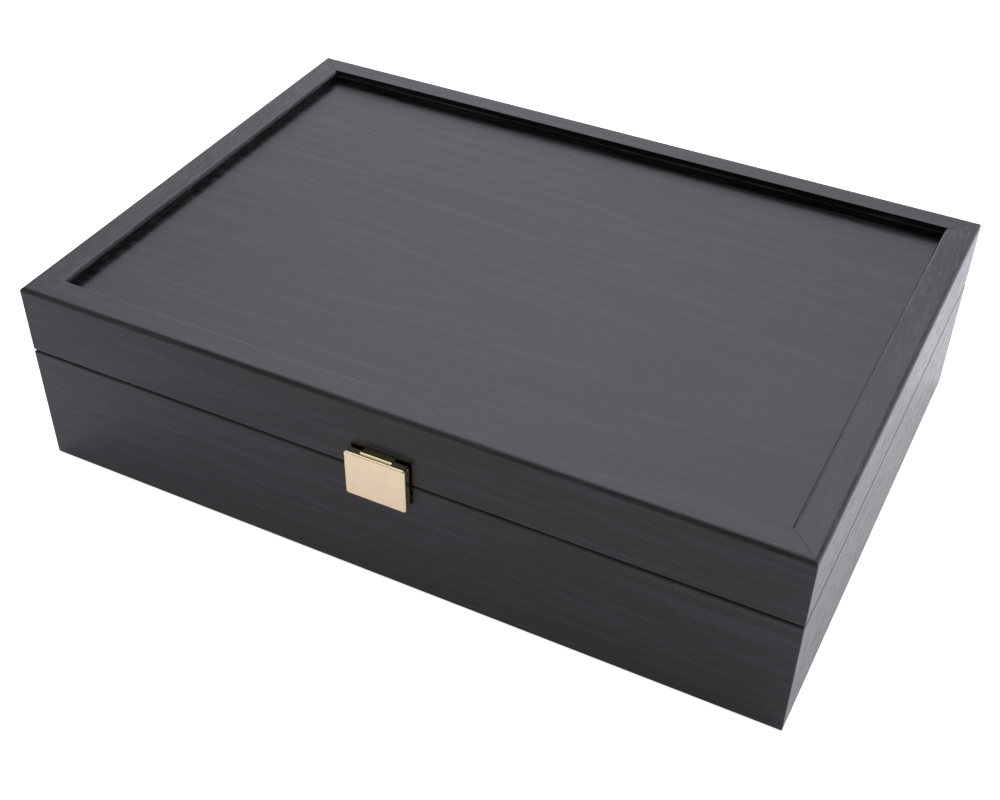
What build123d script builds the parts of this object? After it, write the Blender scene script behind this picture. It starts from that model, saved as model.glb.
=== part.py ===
from build123d import *
import math
import os

# A storage case for a set of chess pieces: a mitred wooden box and a hinged wooden lid,
# a crossed set of dividers inside, two stop hinges at the back and a flip clasp in front.
# Millimetres. +X runs along the case, the clasp faces -Y, +Z is up, z = 0 is what it stands on.

# Carcass
case_length = 360.0
case_depth = 251.2
base_height = 60.5
lid_height = 33.7
seam_gap = 0.3
wall = 14.5
top_edge_radius = 2.4
corner_radius = 0.6
seam_edge_radius = 1.2
bottom_edge_radius = 1.2
frame_inner_radius = 2.2
mitre_groove = 0.08

# Panels held in grooves, and the felt glued to them
lid_recess = 5.3
lid_panel_thickness = 5.0
bottom_setback = 3.0
bottom_panel_thickness = 5.0
groove_depth = 5.0
groove_slack = 0.1
panel_play = 0.5
felt_thickness = 1.2
felt_margin = 0.5

# Crossed dividers
cell_columns = 4
cell_rows = 6
divider_thickness = 3.0
divider_below_rim = 6.4
divider_end_gap = 0.3
lap_slack = 0.1

# Stop hinges let into both rims
hinge_length = 38.0
hinge_end_distance = 70.0
hinge_inner_margin = 3.0
hinge_setback = 0.8
knuckle_radius = 2.3
knuckle_count = 5
knuckle_clearance = 0.3
knuckle_end_gap = 0.3
web_beside_knuckle = 1.05
heel_end_height = 0.55
stop_angle = 95.0
stop_slack = 0.6
hinge_pin_radius = 1.1
hinge_pin_overhang = 0.5
hinge_pin_end_radius = 0.3
pin_clearance = 0.05
mortise_slack = 0.1

# Countersunk wood screws of the hinges
hinge_screw_spacing = 13.0
hinge_screw_head_radius = 2.3
hinge_screw_head_height = 1.4
hinge_screw_shank_radius = 1.2
hinge_screw_length = 15.0
screw_head_rim = 0.15
screw_point_slope = 2.0
screw_slack = 0.08
driver_slot_width = 0.5
driver_slot_depth = 0.5

# Flip clasp: a cast flap that hangs on a bracket on the lid and covers a catch on the base
flap_width = 28.6
flap_height = 22.8
flap_strip_before_knuckle = 0.8
flap_notch_gap = 0.8
flap_front_thickness = 1.4
flap_side_thickness = 1.5
flap_lip_thickness = 1.2
flap_head_below_pin = 1.35
flap_face_radius = 1.0
flap_corner_radius = 1.3
clasp_plate_thickness = 1.0
clasp_plate_seam_gap = 0.6
clasp_knuckle_length = 14.6
clasp_knuckle_radius = 1.2
clasp_axis_drop = 0.9
clasp_pin_radius = 0.4
clasp_pin_end_depth = 0.2
clasp_running_gap = 0.25
catch_nose_width = 8.0
catch_nose_reach = 1.3
catch_nose_height = 1.4
catch_nose_edge_radius = 0.5
catch_gap = 0.15
clasp_screw_spacing = 9.0
clasp_screw_seam_distance = 4.6
clasp_screw_head_radius = 1.5
clasp_screw_head_height = 0.7
clasp_screw_shank_radius = 0.8
clasp_screw_wood_left = 5.0

# How far a cutting shape runs past what it cuts, and how near a height counts as the same
past = 1.0
same_height = 0.001

# Places worked out from the sizes above
hinge_outer_height = knuckle_radius + knuckle_clearance + web_beside_knuckle
heel_slope = math.tan(math.radians((stop_angle + stop_slack) / 2))
heel_tip = (hinge_outer_height - heel_end_height) / heel_slope
hinge_reach = hinge_setback + heel_tip
knuckle_front = clasp_plate_thickness + 2 * clasp_knuckle_radius
clasp_depth = knuckle_front + flap_notch_gap + flap_strip_before_knuckle
flap_wall_gap = clasp_plate_thickness + clasp_running_gap
carcass_y = (clasp_depth - hinge_reach) / 2
front_y = carcass_y - case_depth / 2
back_y = carcass_y + case_depth / 2
lid_bottom = base_height + seam_gap
lid_top = lid_bottom + lid_height
seam_z = base_height + seam_gap / 2
inner_length = case_length - 2 * wall
inner_depth = case_depth - 2 * wall
bottom_panel_top = bottom_setback + bottom_panel_thickness
lid_panel_top = lid_top - lid_recess
lid_panel_bottom = lid_panel_top - lid_panel_thickness
divider_bottom = bottom_panel_top + felt_thickness
divider_top = base_height - divider_below_rim
cell_length = (inner_length - (cell_columns - 1) * divider_thickness) / cell_columns
cell_width = (inner_depth - (cell_rows - 1) * divider_thickness) / cell_rows
hinge_axis_y = back_y + hinge_setback
hinge_leaf_width = wall - hinge_inner_margin
hinge_screw_y = back_y - hinge_leaf_width / 2
hinge_places = {
    "left": -case_length / 2 + hinge_end_distance,
    "right": case_length / 2 - hinge_end_distance,
}
flap_top = seam_z + flap_height / 2
flap_bottom = seam_z - flap_height / 2
clasp_axis_y = front_y - clasp_plate_thickness - clasp_knuckle_radius
clasp_axis_z = flap_top - clasp_axis_drop
clasp_screw_length = wall - clasp_screw_wood_left

os.makedirs("parts", exist_ok=True)


def block(x_span, y_span, z_span):
    """A box between two x, two y and two z values."""
    size = [high - low for low, high in (x_span, y_span, z_span)]
    middle = [(high + low) / 2 for low, high in (x_span, y_span, z_span)]
    return Pos(*middle) * Box(*size)


def plan_block(length, depth, z_span):
    """A box centred on the carcass in plan."""
    y_span = (carcass_y - depth / 2, carcass_y + depth / 2)
    return block((-length / 2, length / 2), y_span, z_span)


def rod(radius, length, x, y, z):
    """A cylinder along X about the point x, y, z."""
    return Pos(x, y, z) * Rot(0, 90, 0) * Cylinder(radius, length)


def extrude_profile(points, x_low, x_high):
    """Points given as y, z become a prism from x_low to x_high."""
    face = make_face(Polyline([Vector(x_low, y, z) for y, z in points], close=True))
    return extrude(face, amount=x_high - x_low, dir=(1, 0, 0))


def edges_at(solid, z):
    """The outer edges of a box that lie flat at the height z."""
    return solid.edges().filter_by_position(Axis.Z, z - same_height, z + same_height)


# Mitred walls


def carcass_ring(seam_edge_z, outer_z, outer_radius):
    """The walls of the base or of the lid as one ring, rounded at the seam and at the other end."""
    side = 1 if seam_edge_z > outer_z else -1
    ring = plan_block(case_length, case_depth, sorted((seam_edge_z, outer_z)))
    ring = fillet(ring.edges().filter_by(Axis.Z), corner_radius)
    ring = ring - edge_cutter(seam_edge_z, side, seam_edge_radius)
    ring = ring - edge_cutter(outer_z, -side, outer_radius)
    z_span = (seam_edge_z + side * past, outer_z - side * past)
    return ring - plan_block(inner_length, inner_depth, sorted(z_span))


def edge_cutter(z, side, radius):
    """What a router takes off the outer edge at the height z, on its upper or lower side."""
    outside = plan_block(
        case_length + 2 * past,
        case_depth + 2 * past,
        sorted((z - side * radius, z + side * past)),
    )
    kept = plan_block(case_length, case_depth, sorted((z - side * wall, z)))
    return outside - fillet(edges_at(kept, z), radius)


def mitre_prism(side, z_span):
    """The 45 degree wedge in plan that holds one wall of a ring."""
    out = past
    into = wall + past
    half_length = case_length / 2
    half_depth = case_depth / 2
    if side in ("front", "back"):
        points = [
            (-half_length - out, -half_depth - out),
            (half_length + out, -half_depth - out),
            (half_length - into, -half_depth + into),
            (-half_length + into, -half_depth + into),
        ]
    else:
        points = [
            (-half_length - out, -half_depth - out),
            (-half_length + into, -half_depth + into),
            (-half_length + into, half_depth - into),
            (-half_length - out, half_depth + out),
        ]
    flip = -1 if side in ("back", "right") else 1
    points = [(flip * x, flip * y + carcass_y, z_span[0]) for x, y in points]
    face = make_face(Polyline(points, close=True))
    return extrude(face, amount=z_span[1] - z_span[0], dir=(0, 0, 1))


def panel_groove(z_low, thickness):
    """The groove round the inside of a ring for a panel of this thickness."""
    z_span = (z_low - groove_slack / 2, z_low + thickness + groove_slack / 2)
    return plan_block(inner_length + 2 * groove_depth, inner_depth + 2 * groove_depth, z_span)


def mitre_lines(z):
    """Four fine V grooves where the mitres meet the face of the frame at the height z."""
    run = wall * math.sqrt(2)
    side = mitre_groove * math.sqrt(2)
    tool = Rot(45, 0, 0) * Box(run + 2 * past, side, side)
    grooves = []
    for x_side in (-1, 1):
        for y_side in (-1, 1):
            x = x_side * (case_length - wall) / 2
            y = carcass_y + y_side * (case_depth - wall) / 2
            grooves.append(Pos(x, y, z) * Rot(0, 0, 45 * x_side * y_side) * tool)
    return grooves


def inner_edge_easing(z):
    """What rounds the inner edge of the lid's frame at its top face."""
    radius = frame_inner_radius
    cutter = plan_block(inner_length + 2 * radius, inner_depth + 2 * radius, (z - radius, z + past))
    for side in (-1, 1):
        x = side * (inner_length / 2 + radius)
        y = carcass_y + side * (inner_depth / 2 + radius)
        cutter = cutter - Pos(x, carcass_y, z - radius) * Rot(90, 0, 0) * Cylinder(radius, case_depth)
        cutter = cutter - rod(radius, case_length, 0, y, z - radius)
    return cutter


def panel(z_low, thickness):
    """A loose panel that fills the opening and runs into the grooves all round."""
    tongue = 2 * (groove_depth - panel_play)
    z_span = (z_low, z_low + thickness)
    return plan_block(inner_length + tongue, inner_depth + tongue, z_span)


def felt_sheet(z_low):
    """Felt cut a little smaller than the inside of the case."""
    z_span = (z_low, z_low + felt_thickness)
    return plan_block(inner_length - 2 * felt_margin, inner_depth - 2 * felt_margin, z_span)


# Crossed dividers


def lap_notch(x, y, z_span):
    """The slot that lets one divider cross another at x, y."""
    half = divider_thickness / 2 + lap_slack
    return block((x - half, x + half), (y - half, y + half), z_span)


def column_x(number):
    """Middle of a divider that runs from front to back, counted from the left."""
    return -inner_length / 2 + number * (cell_length + divider_thickness) - divider_thickness / 2


def row_y(number):
    """Middle of a divider that runs along the case, counted from the front."""
    start = carcass_y - inner_depth / 2
    return start + number * (cell_width + divider_thickness) - divider_thickness / 2


def column_divider(number):
    """Runs from front to back and is slotted from below, over the row dividers."""
    x = column_x(number)
    half = inner_depth / 2 - divider_end_gap
    x_span = (x - divider_thickness / 2, x + divider_thickness / 2)
    board = block(x_span, (carcass_y - half, carcass_y + half), (divider_bottom, divider_top))
    middle = (divider_bottom + divider_top) / 2 + lap_slack
    for row in range(1, cell_rows):
        board = board - lap_notch(x, row_y(row), (divider_bottom - past, middle))
    return board


def row_divider(number):
    """Runs along the case and is slotted from above, under the column dividers."""
    y = row_y(number)
    half = inner_length / 2 - divider_end_gap
    y_span = (y - divider_thickness / 2, y + divider_thickness / 2)
    board = block((-half, half), y_span, (divider_bottom, divider_top))
    middle = (divider_bottom + divider_top) / 2 - lap_slack
    for column in range(1, cell_columns):
        board = board - lap_notch(column_x(column), y, (middle, divider_top + past))
    return board


# Fasteners


def countersunk_screw(head_radius, head_height, shank_radius, length):
    """A slotted screw whose head lies flush at z = 0 and whose point goes down."""
    point = screw_point_slope * shank_radius
    outline = Polyline(
        (0, 0, 0),
        (head_radius, 0, 0),
        (head_radius, 0, -screw_head_rim),
        (shank_radius, 0, -head_height),
        (shank_radius, 0, -length + point),
        (0, 0, -length),
        close=True,
    )
    screw = revolve(make_face(outline), Axis.Z)
    return screw - Box(2 * (head_radius + past), driver_slot_width, 2 * driver_slot_depth)


def screw_hole(head_radius, head_height, shank_radius, length):
    """The countersink and pilot hole for such a screw, a little wider all round."""
    outline = Polyline(
        (0, 0, past),
        (head_radius + screw_slack, 0, past),
        (head_radius + screw_slack, 0, -screw_head_rim - screw_slack),
        (shank_radius + screw_slack, 0, -head_height - screw_slack),
        (shank_radius + screw_slack, 0, -length - screw_slack),
        (0, 0, -length - screw_slack),
        close=True,
    )
    return revolve(make_face(outline), Axis.Z)


hinge_screw_sizes = (
    hinge_screw_head_radius,
    hinge_screw_head_height,
    hinge_screw_shank_radius,
    hinge_screw_length,
)
clasp_screw_sizes = (
    clasp_screw_head_radius,
    clasp_screw_head_height,
    clasp_screw_shank_radius,
    clasp_screw_length,
)


def hinge_screw_places(side):
    """Where the hinge screws sit: side -1 is the base's rim, 1 the lid's."""
    places = []
    z = seam_z + side * seam_gap / 2
    turn = Rot(0, 0, 0) if side < 0 else Rot(180, 0, 0)
    for x in hinge_places.values():
        for step in (-1, 0, 1):
            places.append(Pos(x + step * hinge_screw_spacing, hinge_screw_y, z) * turn)
    return places


def clasp_screw_places(side):
    """Where the clasp's screws sit: side -1 is the base's front, 1 the lid's."""
    places = []
    y = front_y - clasp_plate_thickness
    z = seam_z + side * clasp_screw_seam_distance
    for step in (-1, 1):
        places.append(Pos(step * clasp_screw_spacing / 2, y, z) * Rot(90, 0, 0))
    return places


# Hinges


def knuckle_span(number):
    """Low and high x of one knuckle, measured from the hinge's middle."""
    pitch = hinge_length / knuckle_count
    low = -hinge_length / 2 + number * pitch
    return low, low + pitch


def hinge_leaf(x_middle, side):
    """A leaf with its heel and its knuckles: side -1 is let into the base, 1 into the lid."""
    own = [n for n in range(knuckle_count) if (n % 2 == 0) == (side < 0)]
    others = [n for n in range(knuckle_count) if n not in own]
    half = hinge_length / 2
    points = [
        (-hinge_setback - hinge_leaf_width, seam_gap / 2),
        (seam_gap / 2 / heel_slope, seam_gap / 2),
        (heel_tip, heel_tip * heel_slope),
        (heel_tip, hinge_outer_height),
        (-hinge_setback - hinge_leaf_width, hinge_outer_height),
    ]
    points = [(hinge_axis_y + y, seam_z + side * z) for y, z in points]
    leaf = extrude_profile(points, x_middle - half, x_middle + half)
    for number in others:
        low, high = knuckle_span(number)
        middle = x_middle + (low + high) / 2
        room = high - low + knuckle_end_gap
        leaf = leaf - rod(knuckle_radius + knuckle_clearance, room, middle, hinge_axis_y, seam_z)
    for number in own:
        low, high = knuckle_span(number)
        inset_low = knuckle_end_gap / 2 if number > 0 else 0
        inset_high = knuckle_end_gap / 2 if number < knuckle_count - 1 else 0
        middle = x_middle + (low + inset_low + high - inset_high) / 2
        length = high - low - inset_low - inset_high
        leaf = leaf + rod(knuckle_radius, length, middle, hinge_axis_y, seam_z)
    bore = rod(hinge_pin_radius + pin_clearance, hinge_length + 2 * past, x_middle, hinge_axis_y, seam_z)
    leaf = leaf - bore
    for place in hinge_screw_places(side):
        leaf = leaf - place * screw_hole(*hinge_screw_sizes)
    return leaf


def hinge_mortise(x_middle, side):
    """The recess in a rim that takes one leaf, open at the back."""
    half = hinge_length / 2 + mortise_slack
    inner_y = back_y - hinge_leaf_width - mortise_slack
    z_ends = sorted((seam_z, seam_z + side * hinge_outer_height))
    return block((x_middle - half, x_middle + half), (inner_y, back_y + past), z_ends)


def hinge_pin(x_middle):
    """A pin with rounded ends that stand just proud of the outer knuckles."""
    length = hinge_length + 2 * hinge_pin_overhang
    pin = rod(hinge_pin_radius, length, x_middle, hinge_axis_y, seam_z)
    return fillet(pin.edges().filter_by(GeomType.CIRCLE), hinge_pin_end_radius)


# Clasp


def clasp_pin_bore():
    """The hole for the clasp's pin, through the flap's head and the bracket's knuckle."""
    return rod(clasp_pin_radius + pin_clearance, flap_width + 2 * past, 0, clasp_axis_y, clasp_axis_z)


def clasp_flap():
    """The cast flap: closed in front, hollow behind, with a notched head and a notched lip."""
    x_half = flap_width / 2
    face_y = front_y - clasp_depth
    rear_y = front_y - flap_wall_gap
    flap = block((-x_half, x_half), (face_y, rear_y), (flap_bottom, flap_top))
    flap = fillet(flap.edges().filter_by(Axis.Y), flap_corner_radius)
    flap = fillet(flap.faces().sort_by(Axis.Y)[0].edges(), flap_face_radius)
    hollow_half = x_half - flap_side_thickness
    hollow_y = (face_y + flap_front_thickness, front_y + past)
    hollow_z = (flap_bottom + flap_lip_thickness, clasp_axis_z - clasp_pin_radius - flap_head_below_pin)
    flap = flap - block((-hollow_half, hollow_half), hollow_y, hollow_z)
    notch_half = clasp_knuckle_length / 2 + clasp_running_gap
    notch_y = (face_y + flap_strip_before_knuckle, front_y + past)
    head_z = (hollow_z[1] - past, flap_top + past)
    flap = flap - block((-notch_half, notch_half), notch_y, head_z)
    lip_z = (flap_bottom - past, hollow_z[0] + past)
    nose_half = catch_nose_width / 2 + clasp_running_gap
    nose_clear_y = front_y - clasp_plate_thickness - catch_nose_reach - catch_gap
    flap = flap - block((-nose_half, nose_half), (nose_clear_y, front_y + past), lip_z)
    return flap - clasp_pin_bore()


def clasp_bracket():
    """The plate on the lid that carries the clasp's knuckle at its top edge."""
    x_half = clasp_knuckle_length / 2
    plate_y = (front_y - clasp_plate_thickness, front_y)
    plate_z = (seam_z + clasp_plate_seam_gap, clasp_axis_z + clasp_knuckle_radius / 2)
    bracket = block((-x_half, x_half), plate_y, plate_z)
    web_z = (clasp_axis_z - clasp_knuckle_radius / 2, clasp_axis_z + clasp_knuckle_radius / 2)
    bracket = bracket + block((-x_half, x_half), (clasp_axis_y, front_y), web_z)
    bracket = bracket + rod(clasp_knuckle_radius, clasp_knuckle_length, 0, clasp_axis_y, clasp_axis_z)
    bracket = bracket - clasp_pin_bore()
    for place in clasp_screw_places(1):
        bracket = bracket - place * screw_hole(*clasp_screw_sizes)
    return bracket


def clasp_catch():
    """The plate on the base with the nose that stands behind the flap's lip."""
    x_half = clasp_knuckle_length / 2
    nose_z = flap_bottom + flap_lip_thickness + clasp_running_gap
    plate_y = (front_y - clasp_plate_thickness, front_y)
    catch = block((-x_half, x_half), plate_y, (nose_z, seam_z - clasp_plate_seam_gap))
    nose_y = (front_y - clasp_plate_thickness - catch_nose_reach, front_y)
    nose_half = catch_nose_width / 2
    nose = block((-nose_half, nose_half), nose_y, (nose_z, nose_z + catch_nose_height))
    tip_edges = nose.faces().sort_by(Axis.Y)[0].edges().filter_by(Axis.X)
    catch = catch + fillet(tip_edges, catch_nose_edge_radius)
    for place in clasp_screw_places(-1):
        catch = catch - place * screw_hole(*clasp_screw_sizes)
    return catch


def clasp_pin():
    """The pin that runs through the flap's head and the bracket's knuckle."""
    length = flap_width - 2 * clasp_pin_end_depth
    return rod(clasp_pin_radius, length, 0, clasp_axis_y, clasp_axis_z)


# Build every piece under the name of its node

nodes = {}

base_ring = carcass_ring(base_height, 0, bottom_edge_radius)
base_ring = base_ring - panel_groove(bottom_setback, bottom_panel_thickness)
lid_ring = carcass_ring(lid_bottom, lid_top, top_edge_radius)
lid_ring = lid_ring - panel_groove(lid_panel_bottom, lid_panel_thickness)
lid_ring = lid_ring - inner_edge_easing(lid_top) - mitre_lines(lid_top)
for x in hinge_places.values():
    base_ring = base_ring - hinge_mortise(x, -1)
    lid_ring = lid_ring - hinge_mortise(x, 1)
for place in hinge_screw_places(-1):
    base_ring = base_ring - place * screw_hole(*hinge_screw_sizes)
for place in hinge_screw_places(1):
    lid_ring = lid_ring - place * screw_hole(*hinge_screw_sizes)
for place in clasp_screw_places(-1):
    base_ring = base_ring - place * screw_hole(*clasp_screw_sizes)
for place in clasp_screw_places(1):
    lid_ring = lid_ring - place * screw_hole(*clasp_screw_sizes)

for side in ("front", "back", "left", "right"):
    nodes["base_" + side + "_wall"] = base_ring & mitre_prism(side, (-past, base_height + past))
    nodes["lid_" + side + "_wall"] = lid_ring & mitre_prism(side, (lid_bottom - past, lid_top + past))

nodes["base_bottom_panel"] = panel(bottom_setback, bottom_panel_thickness)
nodes["base_felt"] = felt_sheet(bottom_panel_top)
nodes["lid_panel"] = panel(lid_panel_bottom, lid_panel_thickness)
nodes["lid_felt"] = felt_sheet(lid_panel_bottom - felt_thickness)

for number in range(1, cell_columns):
    nodes["column_divider_" + str(number)] = column_divider(number)
for number in range(1, cell_rows):
    nodes["row_divider_" + str(number)] = row_divider(number)

for name, x in hinge_places.items():
    nodes["hinge_" + name + "_base_leaf"] = hinge_leaf(x, -1)
    nodes["hinge_" + name + "_lid_leaf"] = hinge_leaf(x, 1)
    nodes["hinge_" + name + "_pin"] = hinge_pin(x)

hinge_screw = countersunk_screw(*hinge_screw_sizes)
clasp_screw = countersunk_screw(*clasp_screw_sizes)
nodes["base_hinge_screws"] = Compound([place * hinge_screw for place in hinge_screw_places(-1)])
nodes["lid_hinge_screws"] = Compound([place * hinge_screw for place in hinge_screw_places(1)])
nodes["clasp_catch_screws"] = Compound([place * clasp_screw for place in clasp_screw_places(-1)])
nodes["clasp_bracket_screws"] = Compound([place * clasp_screw for place in clasp_screw_places(1)])

nodes["clasp_flap"] = clasp_flap()
nodes["clasp_bracket"] = clasp_bracket()
nodes["clasp_pin"] = clasp_pin()
nodes["clasp_catch"] = clasp_catch()

for name, shape in nodes.items():
    export_step(shape, "parts/" + name + ".step")
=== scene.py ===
import bpy
import numpy as np
from mathutils import Matrix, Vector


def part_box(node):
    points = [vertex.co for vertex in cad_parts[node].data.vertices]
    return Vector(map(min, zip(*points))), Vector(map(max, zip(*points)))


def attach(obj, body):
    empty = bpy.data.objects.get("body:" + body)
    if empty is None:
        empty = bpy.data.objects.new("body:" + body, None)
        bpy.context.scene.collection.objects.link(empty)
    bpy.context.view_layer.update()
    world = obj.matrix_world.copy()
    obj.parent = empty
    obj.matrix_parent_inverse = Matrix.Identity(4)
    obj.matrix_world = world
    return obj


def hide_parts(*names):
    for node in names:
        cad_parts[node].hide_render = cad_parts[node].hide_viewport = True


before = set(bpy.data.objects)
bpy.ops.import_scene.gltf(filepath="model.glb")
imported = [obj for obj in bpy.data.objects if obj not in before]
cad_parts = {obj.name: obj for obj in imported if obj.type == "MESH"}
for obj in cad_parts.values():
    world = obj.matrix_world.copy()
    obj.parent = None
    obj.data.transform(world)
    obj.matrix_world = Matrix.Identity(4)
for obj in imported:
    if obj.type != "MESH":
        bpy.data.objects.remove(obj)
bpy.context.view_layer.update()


# The camera stands before the case's right half and looks down on the lid. Its place, lens and
# slight roll were fitted to the case's edges, and the shift keeps the case where it stands in the
# photograph.
camera_place = np.array((0.238032, -0.496776, 0.460504))
turned, raised, rolled = np.radians((26.0609, 41.0019, 1.1065))
backwards = np.array(
    (np.sin(turned) * np.cos(raised), -np.cos(turned) * np.cos(raised), np.sin(raised))
)
level_right = np.array((np.cos(turned), np.sin(turned), 0.0))
level_up = np.cross(backwards, level_right)
camera_right = level_right * np.cos(rolled) + level_up * np.sin(rolled)
camera_up = level_up * np.cos(rolled) - level_right * np.sin(rolled)
lens = bpy.data.cameras.new("camera")
lens.sensor_width = 36.0
lens.lens = 52.386
lens.shift_x = -0.004865
lens.shift_y = 0.043446
lens.clip_start = 0.01
lens.clip_end = 50.0
camera = bpy.data.objects.new("camera", lens)
axes = np.eye(4)
axes[:3, :3] = np.column_stack((camera_right, camera_up, backwards))
axes[:3, 3] = camera_place
camera.matrix_world = Matrix(axes.tolist())
bpy.context.scene.collection.objects.link(camera)
bpy.context.scene.camera = camera
bpy.context.scene.view_settings.view_transform = "Standard"


# The studio's soft light comes from a large bank overhead, a little to the back and left, and
# from a wide, weaker one low behind the case. Small banks low on the left and a dim patch in
# front shape the rest, and the camera sees plain white all round.
def added_node(tree, kind, inputs, **settings):
    """Adds a shader node of a kind to a tree, with its settings. Each input, by name or number,
    is fed from another node's output or set to a plain value."""
    node = tree.nodes.new("ShaderNode" + kind)
    for setting, value in settings.items():
        setattr(node, setting, value)
    for socket, value in inputs.items():
        if isinstance(value, bpy.types.NodeSocket):
            tree.links.new(value, node.inputs[socket])
        else:
            node.inputs[socket].default_value = value
    return node


def ranged(tree, value, start, end, to_start, to_end, step="LINEAR"):
    """Carries a value from start..end over to to_start..to_end, held at both ends, along a
    straight line or a smooth step."""
    limits = {"From Min": start, "From Max": end, "To Min": to_start, "To Max": to_end}
    inputs = {"Value": value, **limits}
    return added_node(tree, "MapRange", inputs, interpolation_type=step).outputs["Result"]


def mixed(tree, share, first, second, kind="FLOAT"):
    """Numbers, or colours where kind is RGBA: first where share is 0, second where it is 1."""
    inputs = {"Factor": share, "A": first, "B": second}
    return added_node(tree, "Mix", inputs, data_type=kind).outputs["Result"]


def studio_light(name, plain, banks, colour, seen_colour):
    """A world whose light depends on direction alone. It is plain, plus for each bank, given as
    (direction, start, full, strength), the strength times a smooth step from start to full of
    the cosine between that direction and the light's. The camera sees it at a strength of 1."""
    world = bpy.data.worlds.new(name)
    world.use_nodes = True
    tree = world.node_tree
    direction = added_node(tree, "TexCoord", {}).outputs["Generated"]
    total = plain
    for toward, start, full, strength in banks:
        unit = np.array(toward) / np.linalg.norm(toward)
        cosine = added_node(tree, "VectorMath", {0: direction, 1: unit}, operation="DOT_PRODUCT")
        lobe = ranged(tree, cosine.outputs["Value"], start, full, 0.0, strength, "SMOOTHSTEP")
        total = added_node(tree, "Math", {0: total, 1: lobe}, operation="ADD").outputs["Value"]
    seen = added_node(tree, "LightPath", {}).outputs["Is Camera Ray"]
    background = tree.nodes["Background"]
    tree.links.new(mixed(tree, seen, total, 1.0), background.inputs["Strength"])
    tree.links.new(mixed(tree, seen, colour, seen_colour, "RGBA"), background.inputs["Color"])
    return world


plain_white = (1.0, 1.0, 1.0, 1.0)
bpy.context.scene.world = studio_light(
    "studio",
    plain=0.32,
    banks=(
        ((-0.19, 0.32, 0.93), 0.78, 0.85, 1.54),
        ((0.31, 0.92, 0.24), 0.17, 0.71, 0.84),
        ((0.00, 0.17, 0.99), 0.39, 1.17, 0.13),
        ((-0.78, 0.32, 0.55), 0.52, 1.14, 0.04),
        ((0.77, -0.09, 0.63), 0.44, 1.11, 0.01),
        ((-0.59, -0.69, 0.41), 0.60, 1.08, 0.57),
        ((-0.40, 0.91, 0.05), 0.90, 0.98, 0.55),
        ((0.08, -0.55, 0.83), 0.14, 0.69, -0.13),
    ),
    colour=(0.935, 0.958, 1.04, 1.0),
    seen_colour=plain_white,
)


# The case stands on a white table that keeps a soft shadow. In the case's lacquer and metal the
# table shows a painted glow that rises towards its back, standing in for the light bank's light
# falling there, painted pink in front of the case and yellow beside and behind it.
def white_table(name, half, paper_white, seen_glow, painted_glow_line, painted_tint_line, painted_front_tint, painted_back_tint):
    """A square of the given half width at floor level. Its material is diffuse white plus
    emission:
    seen_glow to the camera, which keeps it white but for a soft shadow, and for mirror-like
    surfaces a painted glow along Y, given as (start, end, strength at start, strength at end).
    The painted colour of that glow goes from the front's to the back's between two given places
    on Y."""
    corners = [(-half, -half, 0), (half, -half, 0), (half, half, 0), (-half, half, 0)]
    mesh = bpy.data.meshes.new(name)
    mesh.from_pydata(corners, [], [(0, 1, 2, 3)])
    material = bpy.data.materials.new("white_table")
    material.use_nodes = True
    tree = material.node_tree
    tree.nodes.remove(tree.nodes["Principled BSDF"])
    place = added_node(tree, "TexCoord", {}).outputs["Object"]
    backward = added_node(tree, "SeparateXYZ", {0: place}).outputs["Y"]
    ray = added_node(tree, "LightPath", {}).outputs
    # Painted light: mirror-like surfaces see a glow rising towards the back, in painted colours.
    ramp = ranged(tree, backward, *painted_glow_line)
    painted_reflection_glow = added_node(tree, "Math", {0: ray["Is Glossy Ray"], 1: ramp}, operation="MULTIPLY")
    glows = {0: ray["Is Camera Ray"], 1: seen_glow, 2: painted_reflection_glow.outputs["Value"]}
    strength = added_node(tree, "Math", glows, operation="MULTIPLY_ADD").outputs["Value"]
    painted_tint_share = ranged(tree, backward, *painted_tint_line, 0.0, 1.0)
    painted_tint = mixed(tree, painted_tint_share, painted_front_tint, painted_back_tint, "RGBA")
    colour = mixed(tree, ray["Is Camera Ray"], painted_tint, plain_white, "RGBA")
    glow = added_node(tree, "Emission", {"Color": colour, "Strength": strength})
    paper = added_node(tree, "BsdfDiffuse", {"Color": paper_white})
    both = added_node(tree, "AddShader", {0: paper.outputs["BSDF"], 1: glow.outputs["Emission"]})
    tree.links.new(both.outputs["Shader"], tree.nodes["Material Output"].inputs["Surface"])
    mesh.materials.append(material)
    table = bpy.data.objects.new(name, mesh)
    bpy.context.scene.collection.objects.link(table)
    return table


table = white_table(
    "table",
    half=4.0,
    paper_white=(0.86, 0.86, 0.87, 1.0),
    seen_glow=0.77,
    painted_glow_line=(-0.447, 0.06, 0.0, 0.425),
    painted_tint_line=(-0.13, -0.05),
    painted_front_tint=(1.07, 0.92, 1.06, 1.0),
    painted_back_tint=(1.005, 0.985, 0.97, 1.0),
)


# The long boards of tray and lid are straight-grained hardwood, mitred at the corners, stained
# black through and sprayed with a satin lacquer that leaves the fine grain to be seen. The grain
# runs along each board.
def dress(names, material):
    """Gives a finish to CAD nodes, in every material slot they have."""
    for name in names:
        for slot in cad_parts[name].material_slots:
            slot.material = material


def noise(tree, vector, detail, rough=0.5):
    """Noise with features about one unit across, as a node."""
    inputs = {"Vector": vector, "Scale": 1.0, "Detail": detail, "Roughness": rough}
    return added_node(tree, "TexNoise", inputs)


def scaled(tree, vector, size, shift=(0.0, 0.0, 0.0)):
    """A place times a size along each axis, plus a shift."""
    inputs = {"Vector": vector, "Scale": size, "Location": shift}
    return added_node(tree, "Mapping", inputs).outputs["Vector"]


def raised_by(tree, height, distance, strength=1.0):
    """The surface's normal where a height of 0 to 1 raises it by up to distance, in metres."""
    inputs = {"Height": height, "Distance": distance, "Strength": strength}
    return added_node(tree, "Bump", inputs).outputs["Normal"]


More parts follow.
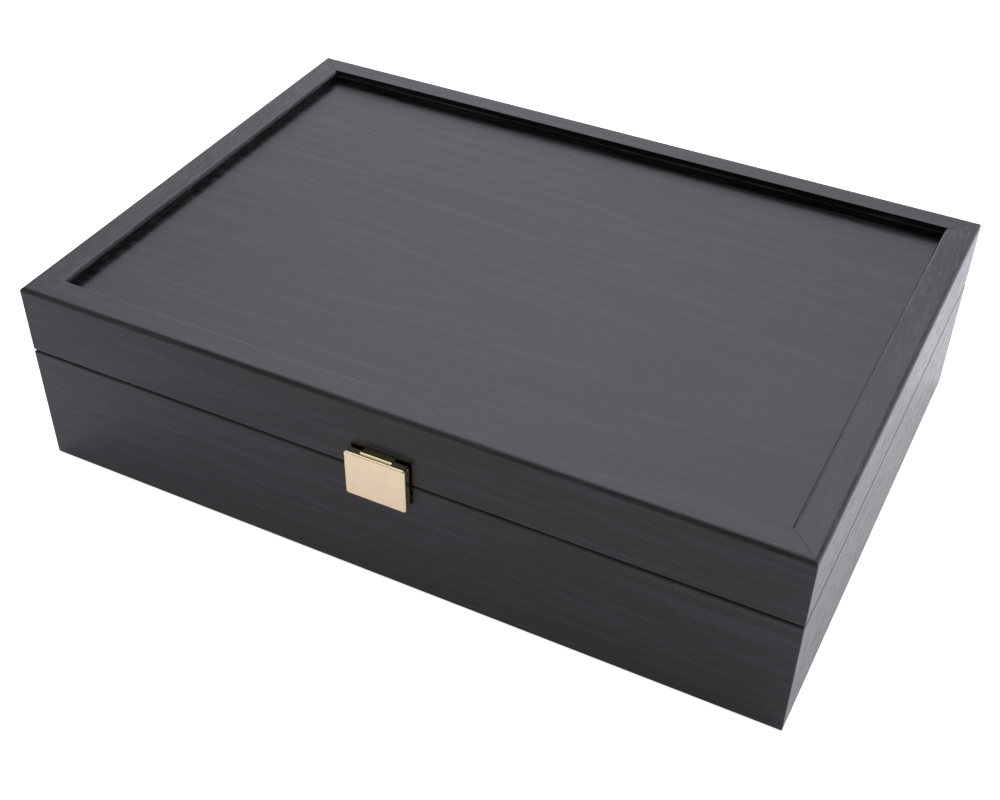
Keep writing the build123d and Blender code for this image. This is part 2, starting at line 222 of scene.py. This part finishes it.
def black_board(
    name, run, growth, pores, pale, relief_height, gloss=(0.25, 0.33), figure=None
):
    """Black-stained wood under satin lacquer, on Object coordinates in metres. Pores are noise
    0.9 mm across and 9 mm long, of which only the high parts show as flecks. Growth lines are
    noise of the given width and length. Mixed in the given share of pores, they lighten the
    stain towards the pale tone, raise the lacquer by the given height and take its roughness
    from the first value of gloss to the second. run is the axis of the grain, 0 for X or 1 for
    Y. figure, as (centre, slimness), is for a flat-sawn panel: its growth lines follow ovals
    round the centre, slimness times as long as wide, that sway by a few millimetres."""
    pore = (0.0009, 0.009)
    flecks_start, flecks_full = 0.50, 0.76
    lines_start, lines_full = 0.46, 0.74
    sway_size = (0.030, 0.070)
    sway_reach = 0.012
    stain_tint = (1.08, 0.89, 1.0)
    material = bpy.data.materials.new(name)
    material.use_nodes = True
    tree = material.node_tree
    lacquer = tree.nodes["Principled BSDF"].inputs
    place = added_node(tree, "TexCoord", {}).outputs["Object"]

    def along_run(across, along):
        size = [1 / across, 1 / across, 1 / across]
        size[run] = 1 / along
        return scaled(tree, place, size)

    pore_noise = noise(tree, along_run(*pore), detail=2.0, rough=0.6).outputs["Fac"]
    flecks = ranged(tree, pore_noise, flecks_start, flecks_full, 0.0, 1.0)
    if figure:
        (centre_x, centre_y), slimness = figure
        width, length = growth
        shift = (-centre_x / slimness, -centre_y, 0.0)
        round_centre = scaled(tree, place, (1 / slimness, 1.0, 0.0), shift)
        swaying = {
            0: noise(tree, along_run(*sway_size), detail=2.0).outputs["Color"],
            1: (0.0, sway_reach, 0.0),
            2: round_centre,
        }
        swayed = added_node(tree, "VectorMath", swaying, operation="MULTIPLY_ADD")
        oval = added_node(tree, "VectorMath", {0: swayed.outputs["Vector"]}, operation="LENGTH")
        along_x = added_node(tree, "SeparateXYZ", {0: place}).outputs["X"]
        ring = added_node(tree, "CombineXYZ", {"X": along_x, "Y": oval.outputs["Value"]})
        grown = scaled(tree, ring.outputs["Vector"], (1 / length, 1 / width, 1.0))
    else:
        grown = along_run(*growth)
    line_noise = noise(tree, grown, detail=3.0, rough=0.6).outputs["Fac"]
    lines = ranged(tree, line_noise, lines_start, lines_full, 0.0, 1.0)
    grain = mixed(tree, pores, lines, flecks)
    dark_stain = (0.0009, 0.0007, 0.0009, 1.0)
    pale_stain = tuple(pale * part for part in stain_tint) + (1.0,)
    tree.links.new(mixed(tree, grain, dark_stain, pale_stain, "RGBA"), lacquer["Base Color"])
    tree.links.new(ranged(tree, grain, 0.0, 1.0, *gloss), lacquer["Roughness"])
    lacquer["IOR"].default_value = 1.42
    tree.links.new(raised_by(tree, grain, relief_height), lacquer["Normal"])
    return material


board_growth = (0.0034, 0.060)
long_board = black_board(
    "black_wood_long_boards",
    run=0,
    growth=board_growth,
    pores=0.38,
    pale=0.028,
    relief_height=0.00002,
)
dress(("base_front_wall", "base_back_wall", "lid_front_wall", "lid_back_wall"), long_board)


# The short boards close the tray and the lid at both ends. They are of the same stock and
# finish, with a more open grain turned a quarter, so that it meets the long boards' grain on the
# mitre.
short_board = black_board(
    "black_wood_short_boards",
    run=1,
    growth=board_growth,
    pores=0.70,
    pale=0.050,
    relief_height=0.00008,
    gloss=(0.22, 0.46),
)
dress(("base_left_wall", "base_right_wall", "lid_left_wall", "lid_right_wall"), short_board)


# The lid's top and the tray's bottom are thin veneered panels held in grooves. The veneer is
# flat-sawn, so wide ovals show faintly in its middle.
for panel, veneer, ovals in (
    ("lid_panel", "black_veneer_lid", ((-0.200, -0.030), 10.0)),
    ("base_bottom_panel", "black_veneer_bottom", ((0.190, 0.020), 9.0)),
):
    veneer_finish = black_board(
        veneer,
        run=0,
        growth=(0.0040, 0.110),
        pores=0.26,
        pale=0.026,
        relief_height=0.000005,
        gloss=(0.27, 0.34),
        figure=ovals,
    )
    dress((panel,), veneer_finish)


# The dividers are thin stained boards, halved over each other, that part the tray into cells for
# the pieces. Each has its grain along its own length.
for divider, stretch, stretch_axis, count in (
    ("column", "crosswise", 1, 3),
    ("row", "lengthwise", 0, 5),
):
    divider_finish = black_board(
        f"black_divider_{stretch}",
        run=stretch_axis,
        growth=(0.0024, 0.050),
        pores=0.4,
        pale=0.028,
        relief_height=0.000015,
    )
    dress([f"{divider}_divider_{number}" for number in range(1, count + 1)], divider_finish)


# The tray's floor and the lid's ceiling are lined with dark green wool felt, cut to size and
# glued down. Its nap is a little uneven, and its cut edges are slightly rounded.
def felt_sheet(name, node, up):
    """A closed sheet of the node's size on a grid of u and v. Its face lies at the node's face,
    sinking along a quarter circle within one thickness of the edge, and waves by a few
    hundredths of a millimetre with the nap. The waves are a sine along u times a sine along v,
    each pushed to and fro by a slower sine along the other. The back is flat. up is 1 where the
    nap faces up and -1 where it faces down."""
    edge_steps = (0.0, 0.15, 0.4, 0.7, 1.0)
    across_steps, along_steps = 90, 60
    edge_drop = 0.55
    nap_depth = 0.03
    wave_u, wave_v = 310, 270
    slow_u, slow_v = 170, 190
    push_u, push_v = 2, 1.5
    low, high = (np.array(corner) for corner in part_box(node))
    width, length, thick = high - low
    edge = np.array(edge_steps) * thick

    def from_edge_to_edge(size, steps):
        middle = np.linspace(thick, size - thick, steps)[1:-1]
        return np.concatenate((edge, middle, size - edge[::-1]))

    across = from_edge_to_edge(width, across_steps)
    along = from_edge_to_edge(length, along_steps)
    u, v = np.meshgrid(across, along, indexing="ij")
    inset = np.minimum(np.minimum(u, width - u), np.minimum(v, length - v))
    sink = 1 - np.sqrt(np.clip(1 - (1 - np.clip(inset / thick, 0, 1)) ** 2, 0, 1))
    ripple_u = np.sin(u * wave_u + push_u * np.sin(v * slow_v))
    ripple_v = np.sin(v * wave_v + push_v * np.sin(u * slow_u))
    nap = nap_depth * (ripple_u * ripple_v - 1)
    height = thick * (1 - edge_drop * sink + nap * (1 - sink))
    face_z = low[2] + height if up > 0 else high[2] - height
    back_z = np.full_like(u, low[2] if up > 0 else high[2])
    face = np.stack((low[0] + u, low[1] + v, face_z), axis=-1).reshape(-1, 3)
    back = np.stack((low[0] + u, low[1] + v, back_z), axis=-1).reshape(-1, 3)
    number = np.arange(u.size).reshape(u.shape)
    corners = (number[:-1, :-1], number[1:, :-1], number[1:, 1:], number[:-1, 1:])
    quads = np.stack(corners, axis=-1).reshape(-1, 4)
    rim = np.concatenate((number[:, 0], number[-1, 1:], number[-2::-1, -1], number[0, -2:0:-1]))
    after = np.roll(rim, -1)
    skirt = np.stack((after, after + u.size, rim + u.size, rim), axis=-1)
    faces = np.concatenate((quads, quads[:, ::-1] + u.size, skirt))
    if up < 0:
        faces = faces[:, ::-1]
    mesh = bpy.data.meshes.new(name)
    mesh.from_pydata(np.concatenate((face, back)).tolist(), [], faces.tolist())
    mesh.shade_smooth()
    sheet = bpy.data.objects.new(name, mesh)
    bpy.context.scene.collection.objects.link(sheet)
    return sheet


def toned(tree, value, start, end, first, second):
    """A colour that goes from the first to the second as the value goes from start to end."""
    ramp = added_node(tree, "ValToRGB", {"Fac": value})
    for stop, place, colour in zip(ramp.color_ramp.elements, (start, end), (first, second)):
        stop.position = place
        stop.color = colour
    return ramp.outputs["Color"]


def green_felt(name):
    """Wool felt on Object coordinates: two sizes of noise, fibres of 0.4 mm and clouds of 9 mm,
    vary the green and raise the nap, and a soft sheen stands for the loose fibre ends."""
    fibres_per_metre, clouds_per_metre = 2400.0, 110.0
    cloud_share = 0.4
    dark_green = (0.008, 0.034, 0.019, 1.0)
    pale_green = (0.026, 0.082, 0.048, 1.0)
    dark_until, pale_from = 0.32, 0.68
    nap_height = 0.00025
    material = bpy.data.materials.new(name)
    material.use_nodes = True
    tree = material.node_tree
    wool = tree.nodes["Principled BSDF"].inputs
    place = added_node(tree, "TexCoord", {}).outputs["Object"]
    fibres, clouds = (
        added_node(
            tree, "TexNoise", {"Vector": place, "Scale": scale, "Detail": 3.0, "Distortion": 0.6}
        ).outputs["Fac"]
        for scale in (fibres_per_metre, clouds_per_metre)
    )
    tufts = mixed(tree, cloud_share, fibres, clouds)
    dye = toned(tree, tufts, dark_until, pale_from, dark_green, pale_green)
    tree.links.new(dye, wool["Base Color"])
    wool["Roughness"].default_value = 0.95
    wool["Specular IOR Level"].default_value = 0.15
    wool["Sheen Weight"].default_value = 0.35
    wool["Sheen Roughness"].default_value = 0.5
    wool["Sheen Tint"].default_value = (0.35, 0.75, 0.5, 1.0)
    tree.links.new(raised_by(tree, tufts, nap_height, strength=0.7), wool["Normal"])
    return material


wool_felt = green_felt("green_wool_felt")
for lining_name, lining_node, lining_body, nap_up, glued_to in (
    ("tray_felt", "base_felt", "base", 1, "base_bottom_panel"),
    ("lid_lining", "lid_felt", "lid", -1, "lid_panel"),
):
    lining = felt_sheet(lining_name, lining_node, nap_up)
    lining.data.materials.append(wool_felt)
    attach(lining, lining_body)
    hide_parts(lining_node)


# The two hinges are machined brass, brushed along their length, let into the back walls and held
# by slotted brass screws. The pins are the same brass, drawn and polished.
def worked_metal(name, colour, roughness, brushed, relief_height, stroke=0.006):
    """Metal on Object coordinates. The brushing is noise stretched along X, 0.18 mm across and a
    stroke long, and is raised by the given height. Mixed in the share given by brushed with soft
    clouds 4 mm across, it varies the colour and the roughness by a little."""
    hair = 0.00018
    cloud = 0.004
    darker, lighter = 0.93, 1.03
    roughness_spread = 0.03
    low, high = 0.25, 0.75
    material = bpy.data.materials.new(name)
    material.use_nodes = True
    tree = material.node_tree
    metal = tree.nodes["Principled BSDF"].inputs
    place = added_node(tree, "TexCoord", {}).outputs["Object"]
    brushing, clouds = (
        noise(tree, scaled(tree, place, size), detail=2.0).outputs["Fac"]
        for size in ((1 / stroke, 1 / hair, 1 / hair), (1 / cloud, 1 / cloud, 1 / cloud))
    )
    worked = mixed(tree, 1.0 - brushed, brushing, clouds)
    tones = [
        tuple(min(1.0, lightness * part) for part in colour) + (1.0,)
        for lightness in (darker, lighter)
    ]
    tree.links.new(toned(tree, worked, low, high, *tones), metal["Base Color"])
    roughnesses = roughness - roughness_spread, roughness + roughness_spread
    tree.links.new(ranged(tree, worked, low, high, *roughnesses), metal["Roughness"])
    metal["Metallic"].default_value = 1.0
    tree.links.new(raised_by(tree, brushing, relief_height), metal["Normal"])
    return material


brushed_brass = worked_metal(
    "brushed_brass", (0.80, 0.60, 0.30), roughness=0.30, brushed=0.75, relief_height=0.000006
)
dress(
    [f"hinge_{side}_{leaf}_leaf" for side in ("left", "right") for leaf in ("base", "lid")],
    brushed_brass,
)
drawn_brass = worked_metal(
    "drawn_brass", (0.82, 0.62, 0.32), roughness=0.20, brushed=0.5, relief_height=0.000002
)
dress(("hinge_left_pin", "hinge_right_pin"), drawn_brass)
screw_brass = worked_metal(
    "screw_brass",
    (0.78, 0.58, 0.29),
    roughness=0.25,
    brushed=0.4,
    relief_height=0.000003,
    stroke=0.002,
)
dress(("base_hinge_screws", "lid_hinge_screws"), screw_brass)


# The flap clasp is cast, smoothed and plated in a pale satin gold, with a plain face. The flap
# hangs on a pin in the bracket on the lid and closes over the catch plate's nose on the tray.
satin_gold = worked_metal(
    "satin_gold", (0.87, 0.715, 0.47), roughness=0.24, brushed=0.3, relief_height=0.000001
)
dress(("clasp_flap",), satin_gold)
plate_gold = worked_metal(
    "plate_gold", (0.83, 0.69, 0.39), roughness=0.22, brushed=0.6, relief_height=0.000003
)
dress(("clasp_bracket", "clasp_catch"), plate_gold)
pin_gold = worked_metal(
    "pin_gold",
    (0.83, 0.69, 0.40),
    roughness=0.18,
    brushed=0.4,
    relief_height=0.000002,
    stroke=0.002,
)
dress(("clasp_pin", "clasp_bracket_screws", "clasp_catch_screws"), pin_gold)
